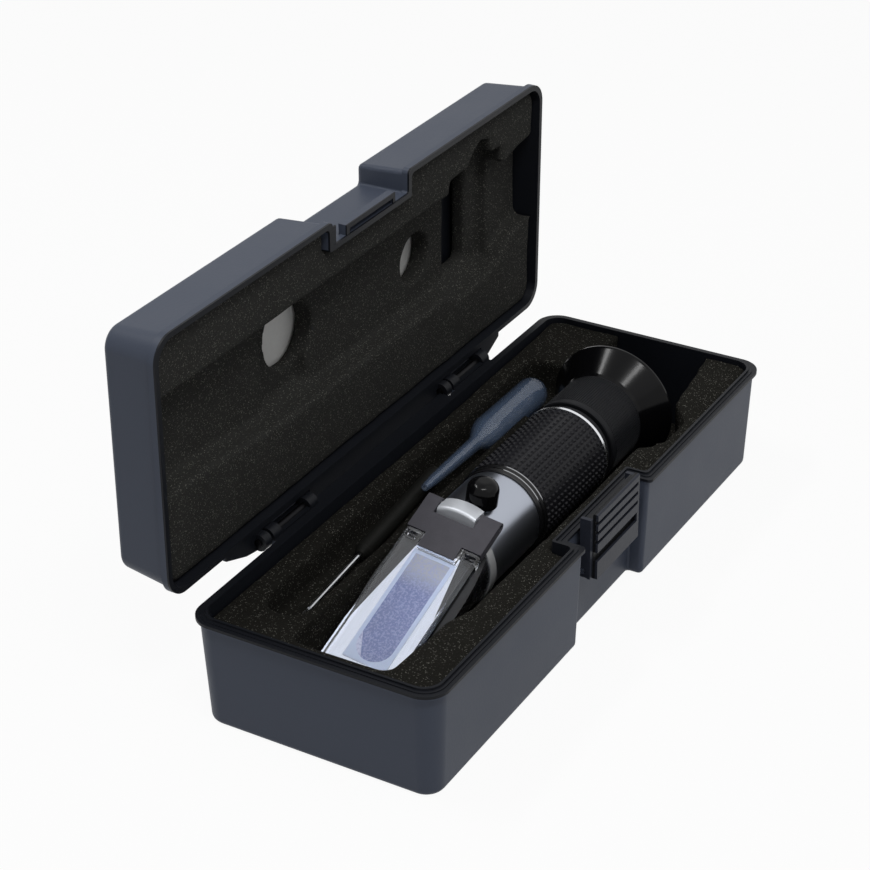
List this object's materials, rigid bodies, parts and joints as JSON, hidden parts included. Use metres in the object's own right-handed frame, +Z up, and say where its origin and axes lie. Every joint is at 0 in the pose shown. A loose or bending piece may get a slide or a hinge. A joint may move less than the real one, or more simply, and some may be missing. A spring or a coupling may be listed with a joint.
{
  "type": "optical refractometer",
  "caption": "Hand-held optical refractometer in a hinged, latched carrying case with foam inserts, a pipette and a small screwdriver.",
  "frame": {"origin": "centre of the case base's flat underside", "axes": "+X along the case towards the eyepiece end, -Y the latch side, +Y the hinge side, +Z up; the lid is shown open"},
  "size_m": [0.205, 0.0991, 0.1143],
  "materials": {
    "case_plastic": "fine moulded grain, soft sheen",
    "foam": "open-cell foam, dull with bright specks",
    "paper": "smooth white paper",
    "steel": "drawn wire, slightly dull",
    "housing_metal": "bright plated",
    "seat_metal": "polished white metal",
    "barrel_metal": "satin plated",
    "chrome_trim": "polished",
    "prism_glass": "frosted blue face",
    "prism_seal": "pale cement line",
    "block_plastic": "fine matt grain",
    "clear_acrylic": "polished clear",
    "brass_part": "machined",
    "gloss_black": "glossy moulded",
    "grip_rubber": "studded rubber",
    "black_plastic": "satin black",
    "lens_glass": "coated lens",
    "pipette_plastic": "translucent bluish white",
    "handle_plastic": "smooth black"
  },
  "bodies": {
    "case": {"case_base": "case_plastic", "base_foam": "foam", "hinge_pins": "steel", "latch_pin": "steel"},
    "lid": {"case_lid": "case_plastic", "lid_foam": "foam", "leaflet": "paper"},
    "latch": {"latch_plate": "case_plastic"},
    "instrument": {"prism_housing": "housing_metal", "main_prism": "prism_glass", "prism_frame": "prism_seal", "prism_seat": "seat_metal", "front_collar": "chrome_trim", "barrel_tube": "barrel_metal", "hinge_lug": "barrel_metal", "flap_pin": "steel", "grip_front_ring": "chrome_trim", "grip_sleeve": "grip_rubber", "grip_rear_ring": "chrome_trim", "neck_tube": "black_plastic", "neck_seal": "grip_rubber", "objective_cell": "black_plastic", "objective_lens": "lens_glass", "compensation_strip": "brass_part", "strip_screws": "steel", "reticle_holder": "black_plastic", "reticle_disc": "lens_glass"},
    "flap": {"flap_block": "block_plastic", "daylight_plate": "clear_acrylic"},
    "eyepiece": {"eyepiece_cell": "black_plastic", "eyepiece_lens": "lens_glass", "lens_ring": "black_plastic"},
    "focus_ring": {"focus_ring": "black_plastic", "eyecup": "gloss_black"},
    "calibration_screw": {"calibration_screw": "brass_part"},
    "screw_cap": {"screw_cap": "gloss_black"},
    "pipette": {"pipette": "pipette_plastic"},
    "screwdriver": {"driver_blade": "steel", "driver_handle": "handle_plastic"}
  },
  "joints": [
    {"name": "lid_hinge", "type": "hinge", "parent": "case", "child": "lid", "pos_m": [0, 0.0421, 0.0335], "axis": [-1, 0, 0], "range_deg": [-89, 0]},
    {"name": "latch_hinge", "type": "hinge", "parent": "case", "child": "latch", "pos_m": [0.0003, -0.0339, 0.0215], "axis": [1, 0, 0], "range_deg": [-3.6, 80]},
    {"name": "instrument_lift", "type": "slide", "parent": "case", "child": "instrument", "axis": [0, 0, 1], "range_m": [0, 0.06]},
    {"name": "flap_hinge", "type": "hinge", "parent": "instrument", "child": "flap", "pos_m": [-0.03115, -0.00581, 0.04101], "axis": [0, 0.9905, 0.1374], "range_deg": [0, 75]},
    {"name": "eyepiece_slide", "type": "slide", "parent": "instrument", "child": "eyepiece", "axis": [1, 0, 0], "range_m": [-0.001, 0.001]},
    {"name": "focus_turn", "type": "hinge", "parent": "eyepiece", "child": "focus_ring", "pos_m": [0.045, -0.004, 0.028], "axis": [1, 0, 0], "range_deg": [-57, 57]},
    {"name": "calibration_turn", "type": "hinge", "parent": "instrument", "child": "calibration_screw", "pos_m": [-0.0241, -0.00741, 0.04166], "axis": [0, -0.1374, 0.9905], "range_deg": [-180, 180]},
    {"name": "cap_pull", "type": "slide", "parent": "instrument", "child": "screw_cap", "axis": [0, -0.1374, 0.9905], "range_m": [0, 0.012]},
    {"name": "pipette_lift", "type": "slide", "parent": "case", "child": "pipette", "axis": [0, 0, 1], "range_m": [0, 0.05]},
    {"name": "screwdriver_lift", "type": "slide", "parent": "case", "child": "screwdriver", "axis": [0, 0, 1], "range_m": [0, 0.05]}
  ],
  "couplings": [
    {"joint": "eyepiece_slide", "follows": "focus_turn", "m_per_rad": 0.001}
  ]
}
